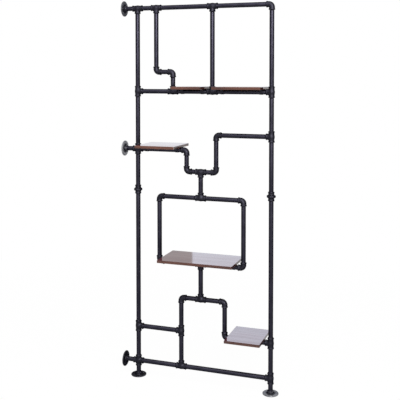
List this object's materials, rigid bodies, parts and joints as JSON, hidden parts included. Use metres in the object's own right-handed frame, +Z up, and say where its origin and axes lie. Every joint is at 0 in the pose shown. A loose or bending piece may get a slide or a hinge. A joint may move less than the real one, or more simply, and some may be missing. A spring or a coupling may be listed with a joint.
{
  "type": "industrial bookcase",
  "caption": "Industrial bookcase: a flat frame of black threaded pipe, cast fittings, unions and flanges that stands square to a wall, with walnut board shelves at staggered heights.",
  "frame": {"origin": "on the floor, under the middle of the whole object, on the plane that holds the axes of all the pipes", "axes": "+X runs along the frame from the wall side to the free side, -Y faces the viewer, +Z is up"},
  "size_m": [0.94, 0.25, 2.226],
  "materials": {
    "pipe_black": "black steel pipe with a thin satin lacquer",
    "fitting_black": "black malleable iron, satin, with a faint cast grain",
    "flange_black": "black malleable iron, satin",
    "union_black": "black malleable iron, satin, with machined flats",
    "shelf_walnut": "walnut stain under a glossy clear lacquer"
  },
  "bodies": {
    "root": {"left_post_lower": "pipe_black", "left_post_upper": "pipe_black", "right_post_lower": "pipe_black", "right_post_upper": "pipe_black", "top_rail": "pipe_black", "left_drop": "pipe_black", "centre_drop": "pipe_black", "upper_shelf_rail": "pipe_black", "middle_shelf_rail": "pipe_black", "right_riser": "pipe_black", "right_rail": "pipe_black", "loop_top_pipe": "pipe_black", "loop_left_pipe": "pipe_black", "loop_right_pipe": "pipe_black", "loop_bottom_pipe": "pipe_black", "lower_stem": "pipe_black", "bridge_left_leg": "pipe_black", "bridge_right_leg": "pipe_black", "left_bar": "pipe_black", "lower_shelf_rail": "pipe_black", "base_rail": "pipe_black", "left_offset_bend": "fitting_black", "middle_trap_bend": "fitting_black", "bridge_bend": "fitting_black", "cross_middle": "fitting_black", "cross_bottom": "fitting_black", "tee_left_post_upper_shelf": "fitting_black", "tee_left_post_bar": "fitting_black", "tee_right_post_upper_shelf": "fitting_black", "tee_right_post_rail": "fitting_black", "tee_right_post_lower_shelf": "fitting_black", "tee_right_post_base": "fitting_black", "tee_top_left_post": "fitting_black", "tee_top_left_drop": "fitting_black", "tee_top_centre_drop": "fitting_black", "tee_upper_shelf_hanger": "fitting_black", "tee_upper_shelf_centre": "fitting_black", "tee_loop_top": "fitting_black", "tee_loop_bottom": "fitting_black", "tee_left_bar": "fitting_black", "tee_base_rail": "fitting_black", "elbow_top_corner": "fitting_black", "elbow_right_rail": "fitting_black", "elbow_loop_top_left": "fitting_black", "elbow_loop_top_right": "fitting_black", "elbow_loop_bottom_left": "fitting_black", "elbow_loop_bottom_right": "fitting_black", "elbow_lower_shelf": "fitting_black", "union_left": "union_black", "union_right": "union_black", "foot_flange_left": "flange_black", "foot_flange_right": "flange_black", "wall_flange_top": "flange_black", "wall_flange_middle": "flange_black", "wall_flange_bottom": "flange_black", "shelf_upper_left": "shelf_walnut", "shelf_upper_right": "shelf_walnut", "shelf_middle": "shelf_walnut", "shelf_centre": "shelf_walnut", "shelf_lower_right": "shelf_walnut"}
  },
  "joints": []
}
